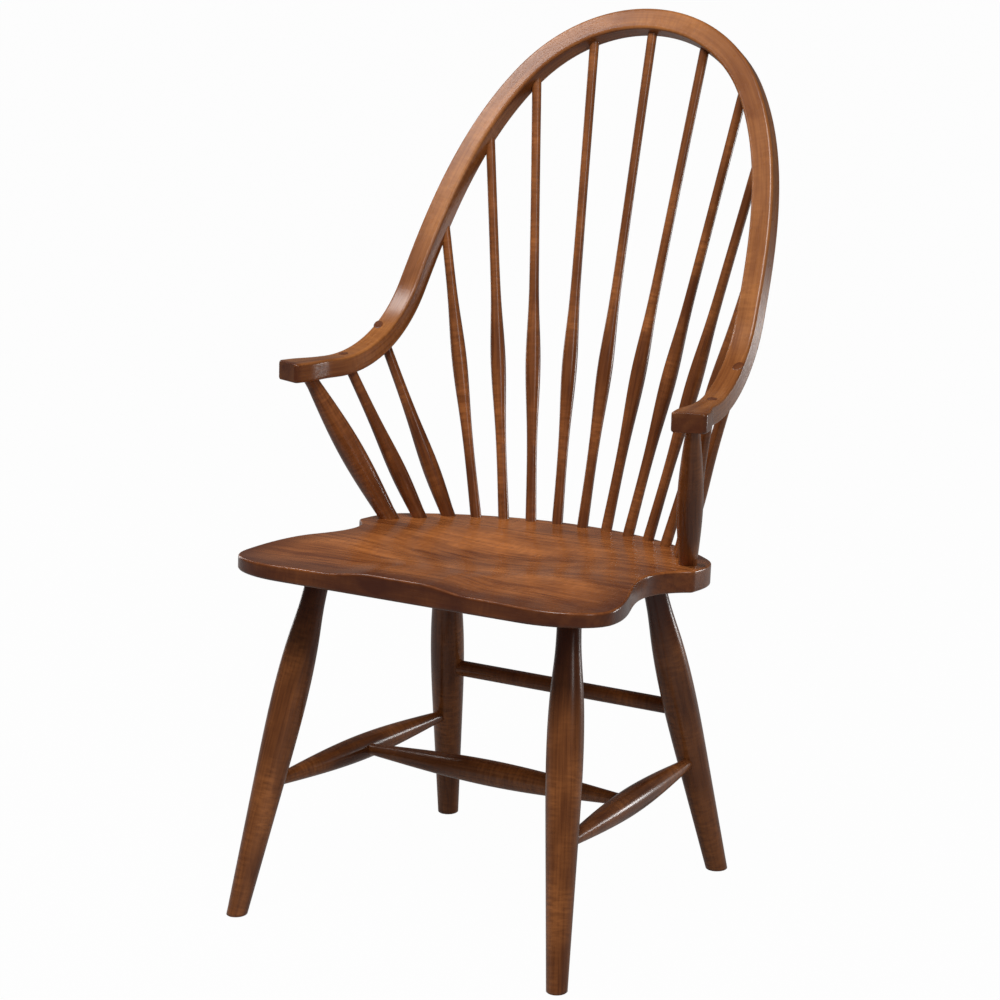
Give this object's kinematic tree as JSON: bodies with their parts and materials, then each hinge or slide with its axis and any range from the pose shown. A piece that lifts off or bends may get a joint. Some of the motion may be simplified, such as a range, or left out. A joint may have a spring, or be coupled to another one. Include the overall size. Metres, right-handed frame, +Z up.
{
  "type": "windsor armchair",
  "caption": "Continuous-arm Windsor armchair: one bent rail makes the arched back and both arms, over turned spindles, a hollowed plank seat and splayed turned legs tied by stretchers.",
  "frame": {"origin": "floor level, under the middle of the chair's overall box", "axes": "+Z up from the floor, -Y the way the sitter faces, +X to the right of someone facing the chair"},
  "size_m": [0.6136, 0.6702, 1.0907],
  "materials": {
    "seat": "brown stain under satin lacquer",
    "bow": "brown stain under satin lacquer",
    "legs": "brown stain under satin lacquer",
    "stretchers": "brown stain under satin lacquer",
    "spindles": "brown stain under satin lacquer"
  },
  "bodies": {
    "root": {"seat": "seat", "bow": "bow", "leg_front_left": "legs", "leg_front_right": "legs", "leg_back_left": "legs", "leg_back_right": "legs", "stretcher_left": "stretchers", "stretcher_right": "stretchers", "stretcher_cross": "stretchers", "stretcher_back": "stretchers", "back_spindle_1": "spindles", "back_spindle_2": "spindles", "back_spindle_3": "spindles", "back_spindle_4": "spindles", "back_spindle_5": "spindles", "back_spindle_6": "spindles", "back_spindle_7": "spindles", "back_spindle_8": "spindles", "back_spindle_9": "spindles", "arm_spindle_left_front": "spindles", "arm_spindle_left_back": "spindles", "arm_post_left": "spindles", "arm_spindle_right_front": "spindles", "arm_spindle_right_back": "spindles", "arm_post_right": "spindles"}
  },
  "joints": []
}
